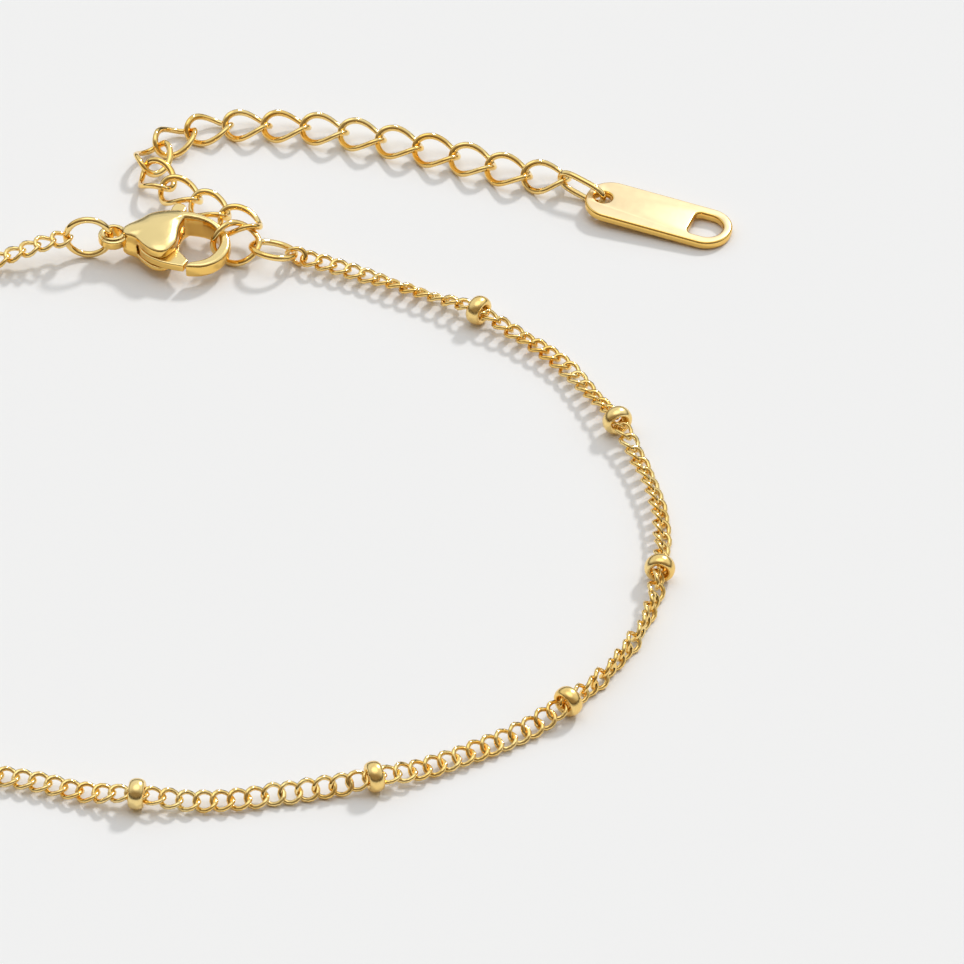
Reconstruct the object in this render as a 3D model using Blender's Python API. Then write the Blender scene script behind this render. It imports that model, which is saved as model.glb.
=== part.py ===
"""Bead chain anklet: a fine curb chain with drilled beads, a trigger clasp, an extender chain and a plain tag.

Units are metres. The anklet lies on the ground, +Z up, with the origin at the bottom centre of its box.
"""

import math

import bmesh
import bpy
from mathutils import Matrix, Vector

MM = 0.001
PLAN_SHIFT = Vector((23.707, -3.613, 0.0)) * MM

# Fine chain, here as the tube that its links fill
CHAIN_DIAMETER = 1.10 * MM
CHAIN_REST_GAP = 0.15 * MM
CHAIN_TUBE_POINTS = 80
CHAIN_SAG_REACH = 4.6 * MM
CHAIN_RISE_REACH = 6.0 * MM
CHAIN_JOIN_GAP = 0.15 * MM

# Beads
BEAD_COUNT = 11
BEAD_DIAMETER = 2.4 * MM
BEAD_LENGTH = 1.2 * MM
BEAD_BORE_GAP = 0.16 * MM
BEAD_SPACING = 17.6 * MM
BEAD_SIDES = 14

# Fine links that hold the chain's two ends on their rings
FINE_LINK_LENGTH = 1.92 * MM
FINE_LINK_WIDTH = 1.72 * MM
FINE_WIRE = 0.32 * MM

# Extender chain
LINK_COUNT = 17
LINK_LENGTH = 4.25 * MM
LINK_WIDTH = 3.27 * MM
LINK_WIRE = 0.47 * MM
LINK_PLAY = 0.105 * MM
LINK_TWIST = math.radians(45.0)
LINK_POINTS = 16

# Rings
RING_WIRE = 0.47 * MM
RING_A_DIAMETER = 4.1 * MM
RING_B_DIAMETER = 4.1 * MM
RING_POINTS = 20
FIRST_LINK_WIDTH = 3.83 * MM
FIRST_LINK_TWIST = math.radians(38.3)

# Clasp
CLASP_LENGTH = 10.0 * MM
CLASP_LIFT = 0.75 * MM
LOWER_PLATE = 0.53 * MM
LEVER_THICKNESS = 0.70 * MM
LEVER_GAP = 0.05 * MM
UPPER_RIM = 0.60 * MM
DOME_RISE = 0.50 * MM
EYE_RADIUS = 1.24 * MM
EYE_BORE = 0.70 * MM
EYE_HEIGHT = 1.15 * MM
PIN_RADIUS = 0.30 * MM
PIN_GAP = 0.05 * MM
PIN_SEAT = 0.36 * MM
ARM_LIFT = 0.05 * MM

# Tag
TAG_LENGTH = 12.4 * MM
TAG_WIDTH = 4.5 * MM
TAG_THICKNESS = 0.75 * MM
TAG_END_RADIUS = 2.15 * MM
TAG_TURN = math.radians(-20.5)
TAG_HOLE = 1.4 * MM
TAG_HOLE_INSET = 1.43 * MM
TAG_WINDOW_LENGTH = 2.6 * MM
TAG_WINDOW_WIDTH = 2.7 * MM
TAG_WINDOW_INSET = 0.75 * MM
TAG_EDGE = 0.14 * MM

# Connector between the extender and the tag
CONNECTOR_LENGTH = 4.65 * MM
CONNECTOR_HEIGHT = 2.15 * MM
FLOOR_GAP = 0.05 * MM

# First points of the fine chain's route, in millimetres from the middle of the clasp's ring
CHAIN_START = [(-3.18, -0.40), (-4.88, -1.00), (-7.08, -1.45)]
# The rest of the route over the ground, round to the other end ring, in millimetres
CHAIN_ROUTE = [
    (-45.2, 24.8), (-52.8, 21.4), (-60.0, 15.2), (-64.9, 7.5), (-67.1, -1.2), (-66.1, -10.2),
    (-62.3, -18.6), (-55.8, -25.9), (-47.5, -30.9), (-39.1, -33.6), (-33.6, -34.9), (-28.1, -36.5),
    (-20.7, -37.1), (-14.3, -36.2), (-7.9, -34.9), (-2.2, -32.5), (4.4, -28.5), (8.9, -23.8),
    (12.2, -17.9), (13.7, -11.3), (13.7, -3.9), (11.5, 3.9), (8.9, 9.3), (5.4, 14.6),
    (-0.5, 19.7), (-5.4, 22.5), (-10.6, 25.0), (-13.93, 26.36),
]
# Beads along that route, in millimetres from its second end; the rest follow at the usual spacing
BEAD_PLACES = [15.3, 32.9, 50.9, 68.0, 84.9, 102.8]
CHAIN_START_HEIGHT = 1.95 * MM
CHAIN_END_HEIGHT = 0.87 * MM

# Route of the extender from the clasp to the tag, in millimetres: place, height and roll in degrees.
# The places that go round the lever's tab are shares of the clasp's length, as in the clasp's outlines.
EXTENDER_ROUTE = [
    {"x": -20.91, "y": 30.80, "z": 1.70, "roll": -0.5},
    {"by_clasp": (0.604, 0.560), "z": 1.57, "roll": -1.2},
    {"by_clasp": (0.387, 0.715), "z": 1.42, "roll": -14.1},
    {"by_clasp": (0.207, 1.098), "z": 1.02, "roll": 5.5},
    {"x": -26.56, "y": 40.67, "z": 0.93, "roll": 8.0},
    {"x": -23.93, "y": 42.84, "z": 0.87, "roll": 4.1},
    {"x": -21.33, "y": 43.69, "z": 0.80, "roll": 6.2},
    {"x": -17.92, "y": 43.49, "z": 0.96, "roll": 8.1},
    {"x": -12.36, "y": 42.75, "z": 1.07, "roll": 9.9},
    {"x": -4.01, "y": 40.08, "z": 1.02, "roll": 13.8},
    {"x": 0.91, "y": 38.02, "z": 0.99, "roll": 12.9},
    {"x": 3.24, "y": 37.00, "z": 0.95, "roll": 10.9},
    {"x": 6.80, "y": 36.36, "z": 1.13, "roll": 14.7},
]

# Places on the ground of the other pieces, in millimetres
HOOK_PLACE = Vector((-21.1, 26.9))
RING_A_FROM_EYE = Vector((-2.02, -0.15))
RING_B_CENTRE = Vector((-16.81, 26.98, 1.29))
RING_B_SLOPE = math.radians(11.3)
RING_B_TILT = math.radians(-19.8)
FIRST_LINK_CENTRE = Vector((-19.83, 27.49, 1.63))
FIRST_LINK_TILT = math.radians(46.5)
FIRST_LINK_TURN = math.radians(8.4)
SECOND_LINK_FROM = Vector((-21.28, 30.95, 1.49))
SECOND_LINK_TO = Vector((-18.00, 28.65, 2.31))
SECOND_LINK_ROLL = math.radians(11.1)

# From the last link's end to the connector's, and from its other end to the tag's hole, in millimetres
CONNECTOR_FROM_LINK = Vector((-0.224, -0.304, 0.348))
CONNECTOR_ALONG = Vector((0.834, -0.532, -0.149))
TAG_FROM_CONNECTOR = Vector((0.191, -0.256, 0.007))

# Clasp outlines, as shares of the clasp's length from the centre of its eye
HEAD_OUTLINE = [
    (0.085, 0.045), (0.212, 0.143), (0.290, 0.212), (0.380, 0.242), (0.480, 0.256), (0.570, 0.245),
    (0.620, 0.205), (0.567, 0.132), (0.537, 0.040), (0.528, -0.060), (0.515, -0.140), (0.480, -0.210),
    (0.435, -0.265), (0.375, -0.280), (0.304, -0.247), (0.237, -0.176), (0.179, -0.100), (0.085, -0.045),
]
HEAD_CENTRE = (0.370, 0.010)
HOOK_HOLD = (0.860, -0.090)
LOWER_REACH = 0.025
PIVOT = (0.280, -0.100)
LEVER_BACK_RADIUS = 0.080
LEVER_BACK_FROM = math.radians(110.0)
LEVER_BACK_TO = math.radians(195.0)
LEVER_FRONT = [
    (0.225, -0.175), (0.260, -0.220), (0.303, -0.261), (0.385, -0.311), (0.466, -0.342), (0.570, -0.368),
    (0.610, -0.294), (0.565, -0.220), (0.520, -0.150), (0.485, -0.070), (0.480, 0.020), (0.522, 0.150),
    (0.540, 0.260), (0.570, 0.340), (0.580, 0.380), (0.560, 0.420), (0.520, 0.440), (0.480, 0.425),
    (0.460, 0.385), (0.450, 0.330), (0.410, 0.240), (0.380, 0.140), (0.340, 0.050), (0.290, -0.005),
]
SLOT_EDGE = [
    (0.130, -0.220), (0.130, -0.460), (0.565, -0.460), (0.565, 0.370), (0.210, 0.370), (0.210, 0.040),
]
HOOK_ROUNDNESS = 0.55
HOOK_SIDES = 12
# Hook, one row for each section: its two edges, and its underside and top as shares of the full height
HOOK_SECTIONS = [
    {"outer": (0.545, 0.225), "inner": (0.545, 0.140), "low": 0.00, "top": 0.95},
    {"outer": (0.625, 0.215), "inner": (0.630, 0.130), "low": 0.00, "top": 0.94},
    {"outer": (0.710, 0.192), "inner": (0.720, 0.110), "low": 0.00, "top": 0.90},
    {"outer": (0.795, 0.145), "inner": (0.785, 0.075), "low": 0.00, "top": 0.85},
    {"outer": (0.875, 0.080), "inner": (0.828, 0.030), "low": 0.03, "top": 0.77},
    {"outer": (0.930, 0.000), "inner": (0.850, -0.030), "low": 0.06, "top": 0.69},
    {"outer": (0.950, -0.080), "inner": (0.855, -0.090), "low": 0.08, "top": 0.63},
    {"outer": (0.938, -0.180), "inner": (0.835, -0.155), "low": 0.06, "top": 0.59},
    {"outer": (0.885, -0.275), "inner": (0.795, -0.215), "low": 0.02, "top": 0.56},
    {"outer": (0.810, -0.340), "inner": (0.745, -0.265), "low": 0.00, "top": 0.55},
    {"outer": (0.710, -0.378), "inner": (0.685, -0.290), "low": 0.00, "top": 0.55},
    {"outer": (0.586, -0.372), "inner": (0.632, -0.312), "low": 0.00, "top": 0.55},
]

GOLD = {"color": (0.86, 0.58, 0.22, 1.0), "roughness": 0.18}
PALE_GOLD = {"color": (0.90, 0.68, 0.34, 1.0), "roughness": 0.30}

SLOT_LOW = CLASP_LIFT + LOWER_PLATE
SLOT_HIGH = SLOT_LOW + LEVER_THICKNESS + 2 * LEVER_GAP
RIM_TOP = SLOT_HIGH + UPPER_RIM
CLASP_TOP = RIM_TOP + DOME_RISE


def clear_scene():
    for thing in list(bpy.data.objects):
        bpy.data.objects.remove(thing, do_unlink=True)


def metal(name, look):
    material = bpy.data.materials.new(name)
    material.use_nodes = True
    shader = material.node_tree.nodes["Principled BSDF"]
    shader.inputs["Base Color"].default_value = look["color"]
    shader.inputs["Roughness"].default_value = look["roughness"]
    shader.inputs["Metallic"].default_value = 1.0
    return material


def add_object(name, data, look=GOLD):
    thing = bpy.data.objects.new(name, data)
    bpy.context.scene.collection.objects.link(thing)
    data.materials.append(metal(name, look))
    return thing


def smooth_through(points, steps, closed):
    """Points along a curve that passes smoothly through the given ones."""
    count = len(points)
    out = []
    spans = count if closed else count - 1
    for i in range(spans):
        if closed:
            p0, p1, p2, p3 = (points[(i + k - 1) % count] for k in range(4))
        else:
            p1, p2 = points[i], points[i + 1]
            p0 = points[i - 1] if i else 2 * p1 - p2
            p3 = points[i + 2] if i + 2 < count else 2 * p2 - p1
        for k in range(steps):
            t = k / steps
            out.append(
                0.5 * (2 * p1 + (p2 - p0) * t + (2 * p0 - 5 * p1 + 4 * p2 - p3) * t * t
                       + (3 * p1 - p0 - 3 * p2 + p3) * t ** 3)
            )
    if not closed:
        out.append(points[-1])
    return out


class Path:
    """A smooth route that can be read at any length along it."""

    def __init__(self, points, steps=24):
        self.points = smooth_through(points, steps, closed=False)
        self.along = [0.0]
        for a, b in zip(self.points, self.points[1:]):
            self.along.append(self.along[-1] + (b - a).length)
        self.length = self.along[-1]

    def at(self, s):
        i = 1
        while i < len(self.along) - 1 and self.along[i] < s:
            i += 1
        share = (s - self.along[i - 1]) / (self.along[i] - self.along[i - 1])
        return self.points[i - 1].lerp(self.points[i], share)

    def chord_on(self, s, chord):
        """The length along the route at which the straight distance from the point at s is one chord."""
        start = self.at(s)
        low, high = s, s + 1.6 * chord
        for _ in range(40):
            middle = 0.5 * (low + high)
            if (self.at(middle) - start).length < chord:
                low = middle
            else:
                high = middle
        return high


def wire_loop(name, points, diameter, sides=6):
    """A closed loop of round wire through the given points."""
    curve = bpy.data.curves.new(name, "CURVE")
    curve.dimensions = "3D"
    curve.bevel_depth = diameter / 2
    curve.bevel_resolution = (sides - 4) // 2
    spline = curve.splines.new("POLY")
    spline.points.add(len(points) - 1)
    for place, point in zip(spline.points, points):
        place.co = (*point, 1.0)
    spline.use_cyclic_u = True
    return add_object(name, curve)


def pose(centre, along, roll):
    """The turn and place of a piece whose length runs along one direction, level but for its roll."""
    x = along.normalized()
    y = Vector((0.0, 0.0, 1.0)).cross(x).normalized()
    z = x.cross(y)
    turn = Matrix((x, y, z)).transposed()
    return Matrix.Translation(centre) @ turn.to_4x4() @ Matrix.Rotation(roll, 4, "X")


def curb_points(length, width, wire, twist, count):
    """The centre line of a curb link: an oval whose ends are turned opposite ways about its length."""
    a = (length - wire) / 2
    b = (width - wire) / 2
    points = []
    for k in range(count):
        t = 2 * math.pi * k / count
        lean = -twist * math.cos(t)
        points.append(
            Vector((a * math.cos(t), b * math.sin(t) * math.cos(lean), b * math.sin(t) * math.sin(lean)))
        )
    return points


def oval_points(length, height, wire, power, count):
    """A flat oval in the XZ plane, squarer than an ellipse."""
    a = (length - wire) / 2
    b = (height - wire) / 2
    points = []
    for k in range(count):
        t = 2 * math.pi * k / count
        c, s = math.cos(t), math.sin(t)
        points.append(
            Vector((a * math.copysign(abs(c) ** power, c), 0.0, b * math.copysign(abs(s) ** power, s)))
        )
    return points


def placed(points, matrix):
    return [matrix @ point for point in points]


def plan(x, y, z=0.0):
    return Vector((x, y, z)) * MM + PLAN_SHIFT


def clasp_point(share):
    """A point of the clasp's outlines, from its share of the clasp's length; the hook keeps its place."""
    hold = plan(*HOOK_PLACE)
    return Vector((
        hold.x + (share[0] - HOOK_HOLD[0]) * CLASP_LENGTH, hold.y + (share[1] - HOOK_HOLD[1]) * CLASP_LENGTH, 0.0
    ))


def ring_a_place():
    return clasp_point((0.0, 0.0)) + RING_A_FROM_EYE.to_3d() * MM


def chain_height(s, path, beads):
    """The height of the chain's axis: lifted where a bead or an end ring carries it, sagging to the ground."""
    low = CHAIN_DIAMETER / 2 + CHAIN_REST_GAP
    rise = 0.0
    for bead in beads:
        near = max(0.0, 1.0 - abs(s - bead) / CHAIN_SAG_REACH)
        rise = max(rise, (BEAD_DIAMETER / 2 - low) * near * near * (3 - 2 * near))
    for end, height in ((0.0, CHAIN_START_HEIGHT), (path.length, CHAIN_END_HEIGHT)):
        near = max(0.0, 1.0 - abs(s - end) / CHAIN_RISE_REACH)
        rise = max(rise, (height - low) * near * near * (3 - 2 * near))
    return low + rise


def make_chain():
    start = [ring_a_place() + Vector((x, y, 0.0)) * MM for x, y in CHAIN_START]
    path = Path(start + [plan(x, y) for x, y in CHAIN_ROUTE])
    places = [place * MM for place in BEAD_PLACES]
    while len(places) < BEAD_COUNT:
        places.append(places[-1] + BEAD_SPACING)
    beads = [path.length - place for place in places]

    def point(s):
        place = path.at(s)
        return Vector((place.x, place.y, chain_height(s, path, beads)))

    curve = bpy.data.curves.new("chain", "CURVE")
    curve.dimensions = "3D"
    curve.bevel_depth = CHAIN_DIAMETER / 2
    curve.bevel_resolution = 2
    curve.use_fill_caps = True
    spline = curve.splines.new("POLY")
    spline.points.add(CHAIN_TUBE_POINTS - 1)
    for k, place in enumerate(spline.points):
        place.co = (*point(path.length * k / (CHAIN_TUBE_POINTS - 1)), 1.0)
    add_object("chain", curve)

    for k, s in enumerate(beads):
        step = BEAD_LENGTH
        make_bead(f"bead_{k + 1:02d}", point(s), point(s - step) - point(s + step))
    return point, path.length


def make_bead(name, centre, along):
    """A drilled bead: a short ring with a rounded rim."""
    bore = CHAIN_DIAMETER / 2 + BEAD_BORE_GAP
    outer = BEAD_DIAMETER / 2
    half = BEAD_LENGTH / 2
    section = [(-0.86 * half, bore), (0.86 * half, bore), (half, bore + 0.16 * (outer - bore))]
    for angle in (55.0, 90.0, 125.0):
        turn = math.radians(angle)
        section.append((half * math.cos(turn), bore + (outer - bore) * math.sin(turn)))
    section.append((-half, bore + 0.16 * (outer - bore)))
    matrix = pose(centre, along, 0.0)
    mesh = bmesh.new()
    rings = []
    for side in range(BEAD_SIDES):
        turn = 2 * math.pi * (side + 0.5) / BEAD_SIDES
        rings.append([
            mesh.verts.new(matrix @ Vector((x, r * math.cos(turn), r * math.sin(turn)))) for x, r in section
        ])
    for side in range(BEAD_SIDES):
        here, there = rings[side], rings[(side + 1) % BEAD_SIDES]
        for k in range(len(section)):
            n = (k + 1) % len(section)
            mesh.faces.new((here[k], here[n], there[n], there[k]))
    finish_mesh(mesh, name)


def finish_mesh(mesh, name, look=GOLD, origin=None):
    """Turn a mesh under construction into an object, its normals outward and its round sides smooth."""
    bmesh.ops.recalc_face_normals(mesh, faces=mesh.faces)
    if origin is not None:
        bmesh.ops.translate(mesh, verts=mesh.verts, vec=-origin)
    data = bpy.data.meshes.new(name)
    mesh.to_mesh(data)
    mesh.free()
    data.shade_smooth()
    data.set_sharp_from_angle(angle=math.radians(35.0))
    thing = add_object(name, data, look)
    if origin is not None:
        thing.location = origin
    return thing


def make_end_links(point, length):
    """The fine links that hold the chain's two ends on their rings."""
    shape = curb_points(FINE_LINK_LENGTH, FINE_LINK_WIDTH, FINE_WIRE, LINK_TWIST, LINK_POINTS)
    reach = FINE_LINK_LENGTH / 2 + CHAIN_JOIN_GAP
    for name, s, inside, roll in (
        ("chain_end_link_a", 0.0, 0.6 * MM, 0.0),
        ("chain_end_link_b", length, length - 0.6 * MM, math.radians(90.0)),
    ):
        outward = (point(s) - point(inside)).normalized()
        outward.z = 0.0
        centre = point(s) + outward.normalized() * reach
        wire_loop(name, placed(shape, pose(centre, outward, roll)), FINE_WIRE)


def make_rings():
    def circle(diameter):
        radius = (diameter - RING_WIRE) / 2
        return [
            Vector((radius * math.cos(2 * math.pi * k / RING_POINTS),
                    radius * math.sin(2 * math.pi * k / RING_POINTS), 0.0))
            for k in range(RING_POINTS)
        ]

    standing = Matrix.Translation(ring_a_place() + Vector((0, 0, RING_A_DIAMETER / 2 + FLOOR_GAP)))
    standing = standing @ Matrix.Rotation(math.radians(90.0), 4, "X")
    wire_loop("ring_a", placed(circle(RING_A_DIAMETER), standing), RING_WIRE, sides=8)
    sloping = Matrix.Translation(plan(*RING_B_CENTRE)) @ Matrix.Rotation(RING_B_SLOPE, 4, "Y")
    sloping = sloping @ Matrix.Rotation(RING_B_TILT, 4, "X")
    wire_loop("ring_b", placed(circle(RING_B_DIAMETER), sloping), RING_WIRE, sides=8)


def route_point(row):
    if "by_clasp" in row:
        return clasp_point(row["by_clasp"]) + Vector((0.0, 0.0, row["z"])) * MM
    return plan(row["x"], row["y"], row["z"])


def make_extender():
    """The curb links, each spanning one pitch of the route, and the first one, which stands on the hook."""
    shape = curb_points(LINK_LENGTH, LINK_WIDTH, LINK_WIRE, LINK_TWIST, LINK_POINTS)
    pitch = LINK_LENGTH - 2 * LINK_WIRE - LINK_PLAY
    rows = EXTENDER_ROUTE
    path = Path([route_point(row) for row in rows])
    rolls = Path([Vector((row["roll"], 100.0 * k, 0.0)) for k, row in enumerate(rows)])
    s = 0.0
    for k in range(2, LINK_COUNT):
        following = path.chord_on(s, pitch)
        start, end = path.at(s), path.at(following)
        share = 0.5 * (s + following) / path.length
        roll = math.radians(rolls.at(share * rolls.length).x)
        wire_loop(
            f"extender_link_{k + 1:02d}", placed(shape, pose((start + end) / 2, end - start, roll)), LINK_WIRE
        )
        s = following
    last = end
    start, end = plan(*SECOND_LINK_FROM), plan(*SECOND_LINK_TO)
    matrix = pose((start + end) / 2, end - start, SECOND_LINK_ROLL)
    wire_loop("extender_link_02", placed(shape, matrix), LINK_WIRE)
    rounder = curb_points(LINK_LENGTH, FIRST_LINK_WIDTH, LINK_WIRE, FIRST_LINK_TWIST, LINK_POINTS)
    turn = Matrix.Rotation(FIRST_LINK_TURN, 4, "Z") @ Matrix.Rotation(FIRST_LINK_TILT, 4, "X")
    matrix = Matrix.Translation(plan(*FIRST_LINK_CENTRE)) @ turn
    wire_loop("extender_link_01", placed(rounder, matrix), LINK_WIRE)
    return last


def make_connector(last):
    """The flat oval that stands on edge and ties the last link to the tag through the tag's hole."""
    along = CONNECTOR_ALONG.normalized()
    reach = (CONNECTOR_LENGTH - 2 * LINK_WIRE) / 2
    centre = last + CONNECTOR_FROM_LINK * MM + along * reach
    shape = oval_points(CONNECTOR_LENGTH, CONNECTOR_HEIGHT, LINK_WIRE, 0.75, LINK_POINTS)
    wire_loop("connector", placed(shape, pose(centre, along, 0.0)), LINK_WIRE)
    return centre + along * reach


def tag_matrix(hold):
    """The tag's turn and place: its hole on the connector's end, its far end on the ground."""
    hole = hold + TAG_FROM_CONNECTOR * MM
    slope = math.asin((hole.z - TAG_THICKNESS / 2) / (TAG_LENGTH - TAG_HOLE_INSET))
    return (
        Matrix.Translation(hole)
        @ Matrix.Rotation(TAG_TURN, 4, "Z")
        @ Matrix.Rotation(slope, 4, "Y")
        @ Matrix.Translation(Vector((TAG_LENGTH / 2 - TAG_HOLE_INSET, 0.0, 0.0)))
    )


def rounded_rectangle(length, width, radius, steps):
    points = []
    for cx, cy, start in ((1, 1, 0), (-1, 1, 90), (-1, -1, 180), (1, -1, 270)):
        for k in range(steps + 1):
            turn = math.radians(start + 90.0 * k / steps)
            points.append(
                Vector((cx * (length / 2 - radius) + radius * math.cos(turn),
                        cy * (width / 2 - radius) + radius * math.sin(turn), 0.0))
            )
    return points


def prism(mesh, outline, low, high):
    """A closed prism over an outline, between two heights."""
    lower = [mesh.verts.new((point.x, point.y, low)) for point in outline]
    upper = [mesh.verts.new((point.x, point.y, high)) for point in outline]
    count = len(outline)
    for k in range(count):
        n = (k + 1) % count
        mesh.faces.new((lower[k], lower[n], upper[n], upper[k]))
    mesh.faces.new(lower)
    mesh.faces.new(upper)


def cutter(name, outline, low, high):
    mesh = bmesh.new()
    prism(mesh, outline, low, high)
    thing = finish_mesh(mesh, name)
    thing.hide_render = True
    thing.display_type = "WIRE"
    return thing


def join_shape(thing, other, operation):
    change = thing.modifiers.new(other.name, "BOOLEAN")
    change.object = other
    change.operation = operation
    change.solver = "EXACT"


def circle_outline(centre, radius, sides):
    return [
        Vector((centre.x + radius * math.cos(2 * math.pi * k / sides),
                centre.y + radius * math.sin(2 * math.pi * k / sides), 0.0))
        for k in range(sides)
    ]


def make_tag(hold):
    """The flat tag, with a round hole for the connector and a D-shaped window."""
    mesh = bmesh.new()
    outline = rounded_rectangle(TAG_LENGTH, TAG_WIDTH, TAG_END_RADIUS, 7)
    prism(mesh, outline, -TAG_THICKNESS / 2, TAG_THICKNESS / 2)
    rims = [edge for edge in mesh.edges if abs(edge.verts[0].co.z - edge.verts[1].co.z) < TAG_THICKNESS / 2]
    bmesh.ops.bevel(mesh, geom=rims, offset=TAG_EDGE, segments=1, affect="EDGES")
    tag = finish_mesh(mesh, "tag", PALE_GOLD)
    reach = TAG_THICKNESS
    hole = cutter(
        "tag_hole", circle_outline(Vector((TAG_HOLE_INSET - TAG_LENGTH / 2, 0.0)), TAG_HOLE / 2, 16), -reach, reach
    )
    centre = (TAG_LENGTH - TAG_WINDOW_LENGTH) / 2 - TAG_WINDOW_INSET
    window = cutter("tag_window", window_outline(centre), -reach, reach)
    for opening in (hole, window):
        opening.parent = tag
        join_shape(tag, opening, "DIFFERENCE")
    tag.matrix_world = tag_matrix(hold)


def window_outline(centre):
    """A D with its straight side towards the tag's middle."""
    half_length, half_width = TAG_WINDOW_LENGTH / 2, TAG_WINDOW_WIDTH / 2
    corner = 0.25 * half_width
    points = []
    for k in range(13):
        turn = math.radians(-90.0 + 180.0 * k / 12)
        points.append(Vector((
            centre + half_length - half_width + half_width * math.cos(turn), half_width * math.sin(turn), 0.0
        )))
    for side, start in ((1, 90), (-1, 180)):
        for k in range(4):
            turn = math.radians(start + 30.0 * k)
            points.append(Vector((
                centre - half_length + corner + corner * math.cos(turn),
                side * (half_width - corner) + corner * math.sin(turn), 0.0
            )))
    return points


def make_clasp_body():
    """The domed head, the hook and the eye as one casting, slotted for the lever and bored for its pin."""
    body = make_head()
    for name, mesh in (("hook", hook_mesh()), ("eye", eye_mesh())):
        piece = finish_mesh(mesh, name)
        piece.hide_render = True
        piece.display_type = "WIRE"
        join_shape(body, piece, "UNION")
    eye = clasp_point((0.0, 0.0))
    pivot = clasp_point(PIVOT)
    back = (LEVER_BACK_RADIUS * CLASP_LENGTH) + 2 * LEVER_GAP
    slot = [clasp_point(share) for share in SLOT_EDGE]
    for k in range(6):
        turn = math.radians(135.0 + 13.0 * k)
        slot.append(Vector((pivot.x + back * math.cos(turn), pivot.y + back * math.sin(turn), 0.0)))
    for opening in (
        cutter("lever_slot", slot, SLOT_LOW, SLOT_HIGH),
        cutter("eye_bore", circle_outline(eye, EYE_BORE, 16), 0.0, 2 * CLASP_TOP),
        cutter(
            "pin_bore", circle_outline(pivot, PIN_RADIUS + PIN_GAP, 12), SLOT_LOW - PIN_SEAT, SLOT_HIGH + PIN_SEAT
        ),
    ):
        join_shape(body, opening, "DIFFERENCE")


def make_head():
    """The teardrop head, its rings stepping in to the domed top and the flat underside."""
    outline = smooth_through([clasp_point(share) for share in HEAD_OUTLINE], 3, closed=True)
    centre = clasp_point(HEAD_CENTRE)
    reach = LOWER_REACH * CLASP_LENGTH
    rings = [
        (0.93, CLASP_LIFT, reach), (1.0, CLASP_LIFT + 0.4 * LOWER_PLATE, reach),
        (1.0, SLOT_LOW + LEVER_GAP, reach), (1.0, SLOT_HIGH - LEVER_GAP, 0.0),
        (1.0, RIM_TOP - 0.15 * UPPER_RIM, 0.0),
    ]
    for share in (0.98, 0.92, 0.82, 0.66, 0.46, 0.24):
        rings.append((share, RIM_TOP + DOME_RISE * math.sqrt(1.0 - share * share), 0.0))
    mesh = bmesh.new()
    loops = []
    for share, height, lean in rings:
        loops.append([
            mesh.verts.new((
                centre.x + (p.x - centre.x) * share, centre.y + (p.y - centre.y) * share - lean, height
            ))
            for p in outline
        ])
    for lower, upper in zip(loops, loops[1:]):
        for k in range(len(outline)):
            n = (k + 1) % len(outline)
            mesh.faces.new((lower[k], lower[n], upper[n], upper[k]))
    mesh.faces.new(loops[0])
    top = mesh.verts.new((centre.x, centre.y, CLASP_TOP))
    for k in range(len(outline)):
        mesh.faces.new((loops[-1][k], loops[-1][(k + 1) % len(outline)], top))
    return finish_mesh(mesh, "clasp_body")


def hook_mesh():
    """The hook, lofted through its sections, each a rectangle with well rounded corners."""
    mesh = bmesh.new()
    full = CLASP_TOP - CLASP_LIFT
    outer_line = smooth_through([Vector((*row["outer"], row["low"])) for row in HOOK_SECTIONS], 2, closed=False)
    inner_line = smooth_through([Vector((*row["inner"], row["top"])) for row in HOOK_SECTIONS], 2, closed=False)
    loops = []
    for outer_row, inner_row in zip(outer_line, inner_line):
        outer, inner = clasp_point(outer_row), clasp_point(inner_row)
        low = CLASP_LIFT + ARM_LIFT + outer_row.z * full
        high = CLASP_LIFT + inner_row.z * full
        loop = []
        for k in range(HOOK_SIDES):
            turn = 2 * math.pi * (k + 0.5) / HOOK_SIDES
            c, s = math.cos(turn), math.sin(turn)
            place = outer.lerp(inner, 0.5 + 0.5 * math.copysign(abs(c) ** HOOK_ROUNDNESS, c))
            place.z = 0.5 * (low + high) + 0.5 * (high - low) * math.copysign(abs(s) ** HOOK_ROUNDNESS, s)
            loop.append(mesh.verts.new(place))
        loops.append(loop)
    for here, there in zip(loops, loops[1:]):
        for k in range(HOOK_SIDES):
            n = (k + 1) % HOOK_SIDES
            mesh.faces.new((here[k], here[n], there[n], there[k]))
    mesh.faces.new(loops[0])
    mesh.faces.new(loops[-1])
    return mesh


def eye_mesh():
    mesh = bmesh.new()
    centre = clasp_point((0.0, 0.0))
    middle = (SLOT_LOW + RIM_TOP) / 2
    low, high = middle - EYE_HEIGHT / 2, middle + EYE_HEIGHT / 2
    prism(mesh, circle_outline(centre, EYE_RADIUS, 28), low, high)
    rims = [edge for edge in mesh.edges if abs(edge.verts[0].co.z - edge.verts[1].co.z) < EYE_HEIGHT / 2]
    bmesh.ops.bevel(mesh, geom=rims, offset=0.18 * EYE_RADIUS, segments=2, affect="EDGES")
    return mesh


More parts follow.
